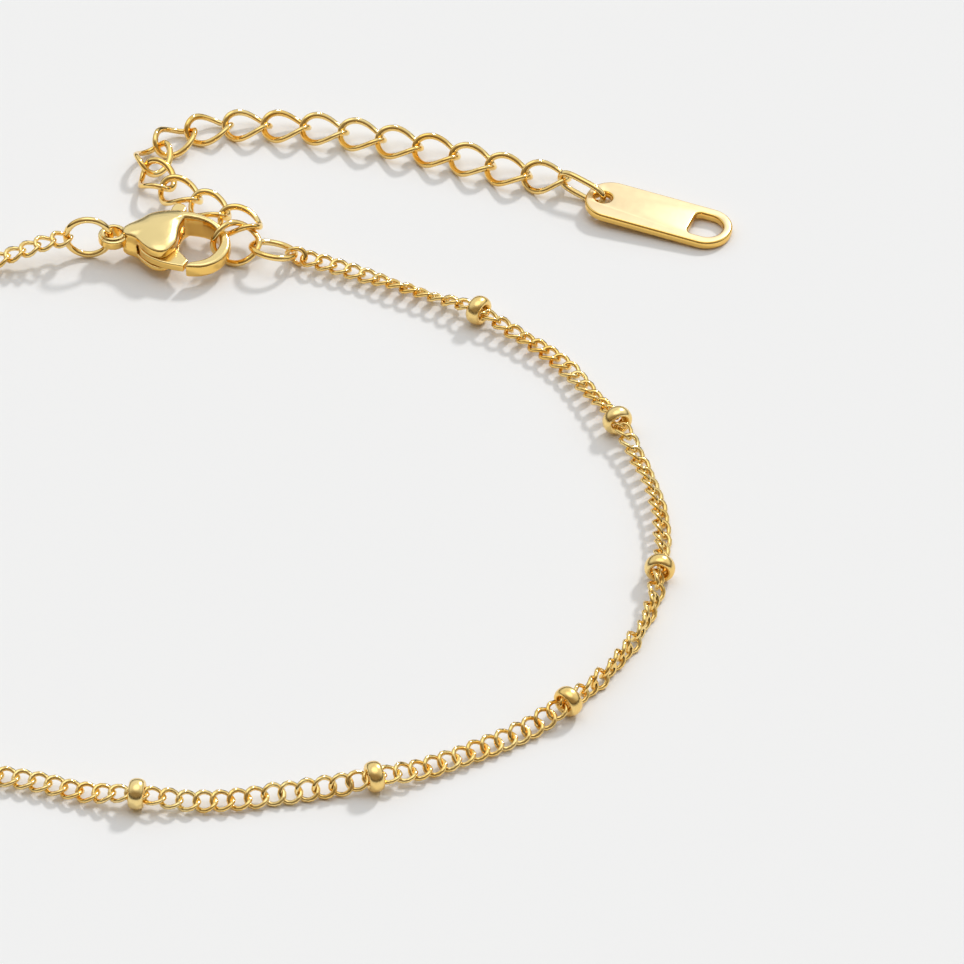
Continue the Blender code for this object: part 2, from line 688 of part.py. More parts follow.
def make_lever():
    """The sprung lever: a rounded back on the pin, the gate that meets the hook, and the thumb tab."""
    pivot = clasp_point(PIVOT)
    back = LEVER_BACK_RADIUS * CLASP_LENGTH
    outline = []
    for k in range(5):
        turn = LEVER_BACK_FROM + (LEVER_BACK_TO - LEVER_BACK_FROM) * k / 4
        outline.append(Vector((pivot.x + back * math.cos(turn), pivot.y + back * math.sin(turn), 0.0)))
    outline += [clasp_point(share) for share in LEVER_FRONT]
    mesh = bmesh.new()
    low = SLOT_LOW + LEVER_GAP
    prism(mesh, outline, low, low + LEVER_THICKNESS)
    lever = finish_mesh(mesh, "clasp_lever", origin=pivot)
    bore = cutter("lever_bore", circle_outline(pivot, PIN_RADIUS + PIN_GAP, 12), 0.0, CLASP_TOP)
    join_shape(lever, bore, "DIFFERENCE")


def make_pin():
    mesh = bmesh.new()
    seat = PIN_SEAT - PIN_GAP
    prism(mesh, circle_outline(clasp_point(PIVOT), PIN_RADIUS, 12), SLOT_LOW - seat, SLOT_HIGH + seat)
    finish_mesh(mesh, "clasp_pin")


def main():
    clear_scene()
    point, length = make_chain()
    make_end_links(point, length)
    make_rings()
    last = make_extender()
    hold = make_connector(last)
    make_tag(hold)
    make_clasp_body()
    make_lever()
    make_pin()


main()
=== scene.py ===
"""Bead chain anklet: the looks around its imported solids.

Every piece is placed from the solid that it stands for, so a change of the part carries over.
"""

import math

import bpy
import numpy as np
from bpy.props import FloatProperty, FloatVectorProperty, IntProperty, PointerProperty
from mathutils import Matrix, Vector


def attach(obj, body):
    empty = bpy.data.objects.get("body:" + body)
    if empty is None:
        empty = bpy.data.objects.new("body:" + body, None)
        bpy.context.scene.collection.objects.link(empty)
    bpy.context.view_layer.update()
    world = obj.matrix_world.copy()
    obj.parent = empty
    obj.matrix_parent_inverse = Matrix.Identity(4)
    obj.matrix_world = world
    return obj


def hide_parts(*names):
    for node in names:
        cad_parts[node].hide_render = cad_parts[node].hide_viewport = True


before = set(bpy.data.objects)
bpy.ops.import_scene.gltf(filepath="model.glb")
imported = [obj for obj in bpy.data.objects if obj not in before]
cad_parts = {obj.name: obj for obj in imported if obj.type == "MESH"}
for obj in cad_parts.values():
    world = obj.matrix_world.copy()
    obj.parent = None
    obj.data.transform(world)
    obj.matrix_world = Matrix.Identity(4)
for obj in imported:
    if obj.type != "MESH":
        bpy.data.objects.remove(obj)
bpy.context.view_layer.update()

bl_info = {
    "name": "Bead Chain Anklet",
    "version": (1, 0, 0),
    "blender": (4, 5, 0),
    "location": "View3D > Sidebar > Anklet",
    "description": "Builds a bead chain anklet with its clasp, extender and tag, and the stage it lies on",
    "category": "Add Mesh",
}

MM = 0.001
ROOT_BODY = "anklet"
LEVER_BODY = "lever"

# The place on the ground at the middle of the photograph, and the camera that looks at it
VIEW_CENTRE = Vector((23.707, -3.613, 0.0)) * MM
VIEW_DISTANCE = 625.0 * MM
VIEW_HEIGHT = math.radians(41.0)
PHOTO_PIXELS = 964.0
FOCAL_PIXELS = 8000.0
SENSOR_WIDTH = 36.0
NEAREST_SEEN = 0.01
FARTHEST_SEEN = 20.0

# The studio: how bright its even light is by height, from the horizon at 0 to straight up at 1
SKY_LEVELS = [(0.0, 0.04), (0.15, 0.10), (0.30, 0.64), (0.42, 1.04), (0.88, 0.92), (0.94, 1.90), (1.0, 1.90)]
SKY_TINT = (0.935, 0.968, 1.0)
# The wall of light stands behind the anklet; the camera's side is a brown card
WALL_DIRECTION = Vector((0.1, 1.0, 0.35)).normalized()
WALL_EDGE = (-0.35, 0.33)
CARD_COLOUR = (0.33, 0.25, 0.16, 1.0)
KEY_DIRECTION = Vector((0.68, 1.03, 1.0)).normalized()
KEY_SPREAD = math.radians(7.0)
KEY_COLOUR = (1.0, 0.99, 0.98)
GROUND_SIZE = 4.0

# Route of the fine chain over the ground from the clasp's ring on, in millimetres from VIEW_CENTRE
CHAIN_ROUTE = [
    (-34.90, 27.25), (-36.6, 26.65), (-38.8, 26.2), (-45.2, 24.8), (-52.8, 21.4), (-60.0, 15.2),
    (-64.9, 7.5), (-67.1, -1.2), (-66.1, -10.2), (-62.3, -18.6), (-55.8, -25.9), (-47.5, -30.9),
    (-39.1, -33.6), (-33.6, -34.9), (-28.1, -36.5), (-20.7, -37.1), (-14.3, -36.2), (-7.9, -34.9),
    (-2.2, -32.5), (4.4, -28.5), (8.9, -23.8), (12.2, -17.9), (13.7, -11.3), (13.7, -3.9),
    (11.5, 3.9), (8.9, 9.3), (5.4, 14.6), (-0.5, 19.7), (-5.4, 22.5), (-10.6, 25.0), (-13.93, 26.36),
]
START_HEIGHT = 1.95 * MM
END_HEIGHT = 0.87 * MM
TUBE_DIAMETER = 1.10 * MM
REST_GAP = 0.15 * MM
# How far from a bead and from an end the chain sags back to the ground
SAG_REACH = 4.6 * MM
RISE_REACH = 6.0 * MM
BEAD_OUTER = 2.4 * MM
LINKS_PER_BEAD = 14
# Beads along the route, in millimetres from its second end; the rest follow at the usual spacing
BEAD_PLACES = [15.3, 32.9, 50.9, 68.0, 84.9, 102.8]
BEAD_COUNT = 11
EXTENDER_LINKS = 17
# A link is drawn slimmer in a bead's bore, and a little slimmer next to it
SLIM_IN_BORE = 0.78
SLIM_BY_BORE = 0.9
LEAST_CLEARANCE = 0.01 * MM

# Roll of the fine links about the chain: (links from the extender's end, degrees)
ROLLS = [
    (0, 4), (4, 4), (6, 36), (9, 26), (12, 16), (16, 24), (20, 2), (23, 34), (26, 16), (29, 36), (34, 50),
    (40, 60), (46, 95), (53, 80), (55, 30), (62, 18), (68, 14), (70, 60), (78, 20), (84, 12), (98, 8),
    (104, 40), (112, 60), (122, 55), (130, 78), (142, 72), (152, 10), (170, 4),
]
# Spread of the rolls: a part that every link has, and a part that grows with the roll
ROLL_SPREAD = 2.0
ROLL_SPREAD_SHARE = 0.12

TAG_CORNER = 2.15 * MM
TAG_EDGE = 0.22 * MM
TAG_HOLE_RADIUS = 0.7 * MM
TAG_HOLE_INSET = 1.43 * MM
WINDOW_LENGTH = 2.6 * MM
WINDOW_WIDTH = 2.7 * MM
WINDOW_INSET = 0.75 * MM
WINDOW_ROUND = 1.32 * MM
WINDOW_CORNER = 0.50 * MM

WAVE_DEPTH = 0.01 * MM
BRUSH_DEPTH = 0.004 * MM
BRUSH_SCALE = 9000.0
MERGE_DISTANCE = 1e-7


class AnkletSizes(bpy.types.PropertyGroup):
    """Sizes of the pieces."""

    fine_length: FloatProperty(name="Fine link length", description="Outside length of a fine link",
                               default=2.0 * MM, unit="LENGTH", precision=5)
    fine_width: FloatProperty(name="Fine link width", description="Outside width of a fine link",
                              default=1.92 * MM, unit="LENGTH", precision=5)
    fine_wire: FloatProperty(name="Fine wire", description="Wire of the fine links",
                             default=0.40 * MM, unit="LENGTH", precision=5)
    fine_twist: FloatProperty(name="Fine twist", description="Turn of each end of a fine link",
                              default=math.radians(28.0), subtype="ANGLE")
    bead_spacing: FloatProperty(name="Bead spacing", description="From one bead to the next along the chain",
                                default=17.6 * MM, unit="LENGTH", precision=5)
    bead_bore: FloatProperty(name="Bead bore", description="Diameter of the hole through a bead",
                             default=1.42 * MM, unit="LENGTH", precision=5)
    bead_lip: FloatProperty(name="Bead lip", description="How far a bead's round rims close in on the chain",
                            default=0.20 * MM, unit="LENGTH", precision=5)
    bead_length: FloatProperty(name="Bead length", description="Length of a bead along the chain",
                               default=1.2 * MM, unit="LENGTH", precision=5)
    link_wire: FloatProperty(name="Link wire", description="Wire of the extender's links and of the rings",
                             default=0.53 * MM, unit="LENGTH", precision=5)
    link_length: FloatProperty(name="Link length", description="Outside length of an extender link",
                               default=4.25 * MM, unit="LENGTH", precision=5)
    link_width: FloatProperty(name="Link width", description="Outside width of an extender link",
                              default=3.27 * MM, unit="LENGTH", precision=5)
    first_width: FloatProperty(name="First link width", description="Outside width of the link on the hook",
                               default=3.83 * MM, unit="LENGTH", precision=5)
    ring_diameter: FloatProperty(name="Ring diameter", description="Outside diameter of the two rings",
                                 default=4.1 * MM, unit="LENGTH", precision=5)
    curb_twist: FloatProperty(name="Curb twist", description="Turn of each end of a curb link",
                              default=math.radians(45.0), subtype="ANGLE")
    first_twist: FloatProperty(name="First link twist", description="Turn of each end of the hook's link",
                               default=math.radians(38.3), subtype="ANGLE")
    connector_height: FloatProperty(name="Connector height", description="Outside height of the connector",
                                    default=2.15 * MM, unit="LENGTH", precision=5)
    connector_length: FloatProperty(name="Connector length", description="Outside length of the connector",
                                    default=4.65 * MM, unit="LENGTH", precision=5)
    tag_length: FloatProperty(name="Tag length", description="Length of the tag",
                              default=12.4 * MM, unit="LENGTH", precision=5)
    tag_width: FloatProperty(name="Tag width", description="Width of the tag",
                             default=4.5 * MM, unit="LENGTH", precision=5)
    tag_thickness: FloatProperty(name="Tag thickness", description="Thickness of the tag",
                                 default=0.75 * MM, unit="LENGTH", precision=5)
    casting_grain: FloatProperty(name="Casting grain", description="Size of the squares of a casting",
                                 default=0.06 * MM, unit="LENGTH", precision=5)
    edge_softening: IntProperty(name="Edge softening", description="Rounds of smoothing on the clasp's edges",
                                default=12, min=0, max=40)


class AnkletFinish(bpy.types.PropertyGroup):
    """Colours of the plated metal and of the stage."""

    gold: FloatVectorProperty(name="Gold", description="The plating's colour", subtype="COLOR",
                              default=(1.0, 0.77, 0.34), size=3, min=0.0, max=1.0)
    # Deep gold is a random tone of the plating and also the painted shade on the sides of the clasp and the
    # tag.
    deep_gold_and_painted_shade: FloatVectorProperty(name="Deep gold", description="The plating where it is a little thicker",
                                   subtype="COLOR", default=(0.98, 0.63, 0.17), size=3, min=0.0, max=1.0)
    # Pale gold is a painted sheen: the tag's top painted lighter for the bright light it reflects.
    pale_gold_painted_sheen: FloatVectorProperty(name="Pale gold", description="The plating on broad satin faces",
                                   subtype="COLOR", default=(0.93, 0.74, 0.44), size=3, min=0.0, max=1.0)
    ground: FloatVectorProperty(name="Ground", description="The floor's colour", subtype="COLOR",
                                default=(0.90, 0.90, 0.90), size=3, min=0.0, max=1.0)
    sky: FloatProperty(name="Sky", description="Strength of the studio's even light", default=0.87, min=0.0)
    key: FloatProperty(name="Key light", description="Strength of the light that throws the shadows",
                       default=1.38, min=0.0)


def settings():
    """The anklet's sizes."""
    return bpy.context.scene.anklet_sizes


def finish():
    """The anklet's colours and the studio's strengths."""
    return bpy.context.scene.anklet_finish


def on_plan(x, y):
    """A place on the ground, from millimetres on the photograph's plan."""
    return Vector((x, y, 0.0)) * MM + VIEW_CENTRE


def deselect():
    if bpy.context.object and bpy.context.object.mode != "OBJECT":
        bpy.ops.object.mode_set(mode="OBJECT")
    bpy.ops.object.select_all(action="DESELECT")


def pick(thing):
    deselect()
    thing.select_set(True)
    bpy.context.view_layer.objects.active = thing


def apply_modifier(thing, kind, **values):
    pick(thing)
    bpy.ops.object.modifier_add(type=kind)
    change = thing.modifiers[-1]
    for key, value in values.items():
        setattr(change, key, value)
    bpy.ops.object.modifier_apply(modifier=change.name)


def select_where(thing, test, kind="VERT"):
    """Select a mesh's vertices or edges by their places and go into edit mode."""
    pick(thing)
    bpy.ops.object.mode_set(mode="EDIT")
    bpy.ops.mesh.select_mode(type=kind)
    bpy.ops.mesh.select_all(action="DESELECT")
    bpy.ops.object.mode_set(mode="OBJECT")
    points = thing.data.vertices
    if kind == "VERT":
        for point in points:
            point.select = test(point.co)
    else:
        for edge in thing.data.edges:
            edge.select = test(points[edge.vertices[0]].co, points[edge.vertices[1]].co)
    bpy.ops.object.mode_set(mode="EDIT")


def dress(thing, name, material, slot, body, *nodes):
    """Name a finished piece, give it its metal and let it ride in the place of its solids."""
    thing.name = name
    thing.data.name = name
    thing.data.materials.clear()
    thing.data.materials.append(material)
    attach(thing, body)
    if nodes:
        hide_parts(*nodes)
    return thing


def laid_out(template, poses):
    """A copy of the template at each pose, each with its own mesh, joined into one piece."""
    copies = []
    for pose in poses:
        copy = template.copy()
        copy.data = template.data.copy()
        copy.data.transform(pose)
        bpy.context.scene.collection.objects.link(copy)
        copies.append(copy)
    bpy.data.objects.remove(template, do_unlink=True)
    deselect()
    for copy in copies:
        copy.select_set(True)
    bpy.context.view_layer.objects.active = copies[0]
    bpy.ops.object.join()
    return copies[0]


def pose_of(node, flat=False):
    """The place and turn of a solid: X along its longest way, or its shortest where it is flat and round."""
    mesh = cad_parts[node].data
    places = np.empty(len(mesh.vertices) * 3)
    mesh.vertices.foreach_get("co", places)
    places = np.unique(np.round(places.reshape(-1, 3), 7), axis=0)
    centre = places.mean(axis=0)
    _, _, ways = np.linalg.svd(places - centre, full_matrices=False)
    if flat:
        ways = ways[::-1]
    x, y = Vector(ways[0]), Vector(ways[1])
    turn = Matrix((x, y, x.cross(y))).transposed()
    return Matrix.Translation(Vector(centre)) @ turn.to_4x4()


def plate_pose(node):
    """The place and turn of a flat solid: X along its length and towards +X, Z up, at its box's middle."""
    turn = pose_of(node).to_3x3()
    x, z = turn.col[0], turn.col[2]
    x = x if x.x > 0 else -x
    z = z if z.z > 0 else -z
    turn = Matrix((x, z.cross(x), z)).transposed()
    places = np.array([turn.inverted() @ point.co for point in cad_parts[node].data.vertices])
    middle = turn @ Vector((places.min(axis=0) + places.max(axis=0)) / 2)
    return Matrix.Translation(middle) @ turn.to_4x4()


def wire_oval(length, width, wire, steps=12, roundness=3):
    """A closed oval of round wire, as long and as wide as given."""
    deselect()
    bpy.ops.curve.primitive_bezier_circle_add(radius=1.0, location=(0.0, 0.0, 0.0))
    oval = bpy.context.object
    bpy.ops.object.mode_set(mode="EDIT")
    bpy.ops.curve.select_all(action="SELECT")
    bpy.ops.transform.resize(value=((length - wire) / 2, (width - wire) / 2, 1.0))
    bpy.ops.object.mode_set(mode="OBJECT")
    oval.data.resolution_u = steps
    oval.data.bevel_depth = wire / 2
    oval.data.bevel_resolution = roundness
    bpy.ops.object.convert(target="MESH")
    oval = bpy.context.object
    bpy.ops.object.mode_set(mode="EDIT")
    bpy.ops.mesh.select_all(action="SELECT")
    bpy.ops.mesh.remove_doubles(threshold=MERGE_DISTANCE)
    bpy.ops.mesh.normals_make_consistent(inside=False)
    bpy.ops.object.mode_set(mode="OBJECT")
    bpy.ops.object.shade_smooth()
    return oval


def curb_link(length, width, wire, twist, steps=12, roundness=3):
    """An oval link whose two ends are turned opposite ways about its length."""
    link = wire_oval(length, width, wire, steps, roundness)
    whole = -2 * twist * length / (length - wire)
    apply_modifier(link, "SIMPLE_DEFORM", deform_method="TWIST", deform_axis="X", angle=whole)
    return link


def torus(diameter, wire, around=64, sides=14):
    deselect()
    bpy.ops.mesh.primitive_torus_add(
        major_radius=(diameter - wire) / 2, minor_radius=wire / 2,
        major_segments=around, minor_segments=sides, location=(0.0, 0.0, 0.0))
    bpy.ops.object.shade_smooth()
    return bpy.context.object


def smooth_route(points, steps=24):
    """A smooth curve through the points."""
    out = []
    for i in range(len(points) - 1):
        p1, p2 = points[i], points[i + 1]
        p0 = points[i - 1] if i else 2 * p1 - p2
        p3 = points[i + 2] if i + 2 < len(points) else 2 * p2 - p1
        for k in range(steps):
            t = k / steps
            out.append(
                0.5 * (2 * p1 + (p2 - p0) * t + (2 * p0 - 5 * p1 + 4 * p2 - p3) * t * t
                       + (3 * p1 - p0 - 3 * p2 + p3) * t ** 3)
            )
    out.append(points[-1])
    return out


class ChainRoute:
    """The fine chain's axis, read at any length along the ground."""

    def __init__(self):
        self.points = np.array(smooth_route([on_plan(x, y) for x, y in CHAIN_ROUTE]))
        steps = np.linalg.norm(np.diff(self.points, axis=0), axis=1)
        self.along = np.concatenate([[0.0], np.cumsum(steps)])
        self.length = self.along[-1]
        places = [place * MM for place in BEAD_PLACES]
        while len(places) < BEAD_COUNT:
            places.append(places[-1] + settings().bead_spacing)
        self.beads = [self.length - place for place in places]

    def stations(self, pitch):
        """Where the links' middles lie: one in each bead, as many between any two, and on to the ends."""
        spots = []
        for here, there in zip(self.beads, self.beads[1:]):
            spots += [here + (there - here) * k / LINKS_PER_BEAD for k in range(LINKS_PER_BEAD)]
        spots.append(self.beads[-1])
        before = int((self.length - self.beads[0]) / pitch)
        after = int(self.beads[-1] / pitch)
        spots = [self.beads[0] + k * pitch for k in range(before, 0, -1)] + spots
        return spots + [self.beads[-1] - k * pitch for k in range(1, after + 1)]

    def height(self, s):
        low = TUBE_DIAMETER / 2 + REST_GAP
        rise = 0.0
        for bead in self.beads:
            near = max(0.0, 1.0 - abs(s - bead) / SAG_REACH)
            rise = max(rise, (BEAD_OUTER / 2 - low) * near * near * (3 - 2 * near))
        for end, height in ((0.0, START_HEIGHT), (self.length, END_HEIGHT)):
            near = max(0.0, 1.0 - abs(s - end) / RISE_REACH)
            rise = max(rise, (height - low) * near * near * (3 - 2 * near))
        return low + rise

    def at(self, s):
        x = np.interp(s, self.along, self.points[:, 0])
        y = np.interp(s, self.along, self.points[:, 1])
        return Vector((x, y, self.height(s)))


def lying(centre, along, roll):
    """The pose of a link whose length runs along one direction, level but for its roll."""
    x = along.normalized()
    y = Vector((0.0, 0.0, 1.0)).cross(x).normalized()
    turn = Matrix((x, y, x.cross(y))).transposed().to_4x4()
    return Matrix.Translation(centre) @ turn @ Matrix.Rotation(roll, 4, "X")


def add_socket(group, name, kind, way, value=None):
    socket = group.interface.new_socket(name=name, in_out=way, socket_type=kind)
    if value is not None:
        socket.default_value = value
    return socket


def plating_group():
    """How plating varies over a piece: a slow change of tone, a finer one of gloss and a faint waviness."""
    if "Plating" in bpy.data.node_groups:
        return bpy.data.node_groups["Plating"]
    group = bpy.data.node_groups.new("Plating", "ShaderNodeTree")
    add_socket(group, "Tone Scale", "NodeSocketFloat", "INPUT", 300.0)
    add_socket(group, "Gloss Scale", "NodeSocketFloat", "INPUT", 1500.0)
    add_socket(group, "Wave Scale", "NodeSocketFloat", "INPUT", 2500.0)
    add_socket(group, "Tone", "NodeSocketFloat", "OUTPUT")
    add_socket(group, "Gloss", "NodeSocketFloat", "OUTPUT")
    add_socket(group, "Height", "NodeSocketFloat", "OUTPUT")
    nodes, links = group.nodes, group.links
    start = nodes.new("NodeGroupInput")
    end = nodes.new("NodeGroupOutput")
    place = nodes.new("ShaderNodeTexCoord")
    for row, (scale, out, detail) in enumerate((
        ("Tone Scale", "Tone", 2.0), ("Gloss Scale", "Gloss", 4.0), ("Wave Scale", "Height", 3.0),
    )):
        noise = nodes.new("ShaderNodeTexNoise")
        noise.location = (-400, -260 * row)
        noise.inputs["Detail"].default_value = detail
        ramp = nodes.new("ShaderNodeMapRange")
        ramp.location = (-180, -260 * row)
        ramp.inputs["From Min"].default_value = 0.3
        ramp.inputs["From Max"].default_value = 0.7
        links.new(place.outputs["Object"], noise.inputs["Vector"])
        links.new(start.outputs[scale], noise.inputs["Scale"])
        links.new(noise.outputs["Fac"], ramp.inputs["Value"])
        links.new(ramp.outputs["Result"], end.inputs[out])
    return group


def brush_group():
    """Fine lines left by polishing, all running one way over a piece."""
    if "Brush Lines" in bpy.data.node_groups:
        return bpy.data.node_groups["Brush Lines"]
    group = bpy.data.node_groups.new("Brush Lines", "ShaderNodeTree")
    add_socket(group, "Turn", "NodeSocketVector", "INPUT", (0.0, 0.0, 0.0))
    add_socket(group, "Stretch", "NodeSocketVector", "INPUT", (0.06, 1.0, 1.0))
    add_socket(group, "Scale", "NodeSocketFloat", "INPUT", 9000.0)
    add_socket(group, "Lines", "NodeSocketFloat", "OUTPUT")
    nodes, links = group.nodes, group.links
    start = nodes.new("NodeGroupInput")
    end = nodes.new("NodeGroupOutput")
    place = nodes.new("ShaderNodeTexCoord")
    turned = nodes.new("ShaderNodeMapping")
    noise = nodes.new("ShaderNodeTexNoise")
    noise.inputs["Detail"].default_value = 3.0
    links.new(place.outputs["Object"], turned.inputs["Vector"])
    links.new(start.outputs["Turn"], turned.inputs["Rotation"])
    links.new(start.outputs["Stretch"], turned.inputs["Scale"])
    links.new(turned.outputs["Vector"], noise.inputs["Vector"])
    links.new(start.outputs["Scale"], noise.inputs["Scale"])
    links.new(noise.outputs["Fac"], end.inputs["Lines"])
    return group


def upward_mask_for_polish_and_painted_shade():
    """A mask of the faces that look up, for metal that is satin on top and polished round its sides, and for
    painted shade in a deeper gold on the faces that don't look up.
    """
    if "Upward" in bpy.data.node_groups:
        return bpy.data.node_groups["Upward"]
    group = bpy.data.node_groups.new("Upward", "ShaderNodeTree")
    add_socket(group, "From", "NodeSocketFloat", "INPUT", 0.90)
    add_socket(group, "To", "NodeSocketFloat", "INPUT", 0.985)
    add_socket(group, "Mask", "NodeSocketFloat", "OUTPUT")
    nodes, links = group.nodes, group.links
    start = nodes.new("NodeGroupInput")
    end = nodes.new("NodeGroupOutput")
    place = nodes.new("ShaderNodeTexCoord")
    parts = nodes.new("ShaderNodeSeparateXYZ")
    ramp = nodes.new("ShaderNodeMapRange")
    links.new(place.outputs["Normal"], parts.inputs["Vector"])
    links.new(parts.outputs["Z"], ramp.inputs["Value"])
    links.new(start.outputs["From"], ramp.inputs["From Min"])
    links.new(start.outputs["To"], ramp.inputs["From Max"])
    links.new(ramp.outputs["Result"], end.inputs["Mask"])
    return group


def mixed(nodes, links, kind, mask, aside, chosen, target):
    """Feed a shader's socket from one value where the mask is 0 and another where it is 1."""
    mix = nodes.new("ShaderNodeMix")
    mix.data_type = kind
    mix.inputs["A"].default_value = aside
    links.new(mask, mix.inputs["Factor"])
    links.new(chosen, mix.inputs["B"])
    links.new(mix.outputs["Result"], target)


def plated(name, light, deep, gloss, bump, lines=None, sides=None):
    """A plated metal: tone between two golds, roughness between two values and faint waves. It may have brush
    lines, and sides of a higher polish that are painted in a deeper gold as painted shade."""
    if name in bpy.data.materials:
        return bpy.data.materials[name]
    material = bpy.data.materials.new(name)
    material.use_nodes = True
    nodes, links = material.node_tree.nodes, material.node_tree.links
    shader = nodes["Principled BSDF"]
    shader.inputs["Metallic"].default_value = 1.0
    plating = nodes.new("ShaderNodeGroup")
    plating.node_tree = plating_group()
    tone = nodes.new("ShaderNodeMix")
    tone.data_type = "RGBA"
    tone.inputs["A"].default_value = (*light, 1.0)
    tone.inputs["B"].default_value = (*deep, 1.0)
    links.new(plating.outputs["Tone"], tone.inputs["Factor"])
    links.new(tone.outputs["Result"], shader.inputs["Base Color"])
    rough = nodes.new("ShaderNodeMapRange")
    rough.inputs["To Min"].default_value = gloss[0]
    rough.inputs["To Max"].default_value = gloss[1]
    links.new(plating.outputs["Gloss"], rough.inputs["Value"])
    links.new(rough.outputs["Result"], shader.inputs["Roughness"])
    # The sides' deeper gold is painted shade on the faces that don't look up; their higher polish is real.
    if sides:
        upward = nodes.new("ShaderNodeGroup")
        upward.node_tree = upward_mask_for_polish_and_painted_shade()
        upward.inputs["From"].default_value, upward.inputs["To"].default_value = sides["span"]
        mask = upward.outputs["Mask"]
        mixed(nodes, links, "RGBA", mask, (*sides["colour"], 1.0), tone.outputs["Result"],
              shader.inputs["Base Color"])
        mixed(nodes, links, "FLOAT", mask, sides["roughness"], rough.outputs["Result"],
              shader.inputs["Roughness"])
    relief = nodes.new("ShaderNodeBump")
    relief.inputs["Strength"].default_value = bump
    relief.inputs["Distance"].default_value = WAVE_DEPTH
    links.new(plating.outputs["Height"], relief.inputs["Height"])
    if lines:
        brush = nodes.new("ShaderNodeGroup")
        brush.node_tree = brush_group()
        brush.inputs["Turn"].default_value = (0.0, 0.0, lines["turn"])
        brush.inputs["Scale"].default_value = BRUSH_SCALE
        fine = nodes.new("ShaderNodeBump")
        fine.inputs["Strength"].default_value = lines["depth"]
        fine.inputs["Distance"].default_value = BRUSH_DEPTH
        links.new(brush.outputs["Lines"], fine.inputs["Height"])
        links.new(relief.outputs["Normal"], fine.inputs["Normal"])
        relief = fine
    links.new(relief.outputs["Normal"], shader.inputs["Normal"])
    return material


def wire_gold():
    return plated("Polished Wire Gold", finish().gold, finish().deep_gold_and_painted_shade, (0.05, 0.13), 0.2)


def bead_gold():
    return plated("Bead Gold", finish().gold, finish().deep_gold_and_painted_shade, (0.20, 0.28), 0.3)


def clasp_gold():
    look = finish()
    # The faces that don't look up are painted in the deeper gold as painted shade; their lower roughness is
    # real polish.
    return plated("Cast Clasp Gold With Painted Shade", look.gold, look.gold, (0.18, 0.25), 0.2,
                  {"turn": 0.5, "depth": 0.1},
                  {"span": (0.30, 0.75), "colour": look.deep_gold_and_painted_shade, "roughness": 0.13})


def tag_gold():
    look = finish()
    # The tag's top is painted pale as a painted sheen and its edges deep gold as painted shade; the roughness
    # split between satin top and polished edges is real.
    return plated("Satin Tag Gold With Painted Light", look.pale_gold_painted_sheen, look.pale_gold_painted_sheen, (0.38, 0.44), 0.12,
                  {"turn": 0.36, "depth": 0.2},
                  {"span": (0.90, 0.985), "colour": look.deep_gold_and_painted_shade, "roughness": 0.14})


class ANKLET_OT_fine_chain(bpy.types.Operator):
    """Lay the fine chain link by link along its route, through the beads, and hang its ends on the rings"""

    bl_idname = "anklet.fine_chain"
    bl_label = "Fine Chain"

    def execute(self, context):
        sizes = settings()
        route = ChainRoute()
        pitch = sizes.bead_spacing / LINKS_PER_BEAD
        stations, rolls = zip(*ROLLS)
        jitter = np.random.default_rng(5)
        poses = []
        for k, s in enumerate(route.stations(pitch)):
            steady = np.interp(k, stations, rolls)
            roll = math.radians(steady + jitter.normal() * (ROLL_SPREAD + ROLL_SPREAD_SHARE * steady))
            near = min(abs(s - bead) for bead in route.beads)
            slim = SLIM_IN_BORE if near < 0.5 * pitch else SLIM_BY_BORE if near < 1.5 * pitch else 1.0
            along = route.at(s + 0.5 * pitch) - route.at(s - 0.5 * pitch)
            pose = lying(route.at(s), along, roll)
            poses.append(pose @ Matrix.Diagonal((1.0, slim, slim, 1.0)))
        fine = (sizes.fine_length, sizes.fine_width, sizes.fine_wire, sizes.fine_twist)
        link = curb_link(*fine, steps=4, roundness=1)
        chain = laid_out(link, [self.on_ground(link, pose) for pose in poses])
        dress(chain, "fine_chain", wire_gold(), "gold", ROOT_BODY, "chain")
        link = curb_link(*fine, steps=6, roundness=2)
        ends = laid_out(link, [pose_of("chain_end_link_a"), pose_of("chain_end_link_b")])
        dress(ends, "chain_end_links", wire_gold(), "gold", ROOT_BODY, "chain_end_link_a", "chain_end_link_b")
        return {"FINISHED"}

    def on_ground(self, link, pose):
        """The same pose, raised where the link would dip into the ground."""
        low = min((pose @ point.co).z for point in link.data.vertices)
        return Matrix.Translation(Vector((0.0, 0.0, max(0.0, LEAST_CLEARANCE - low)))) @ pose


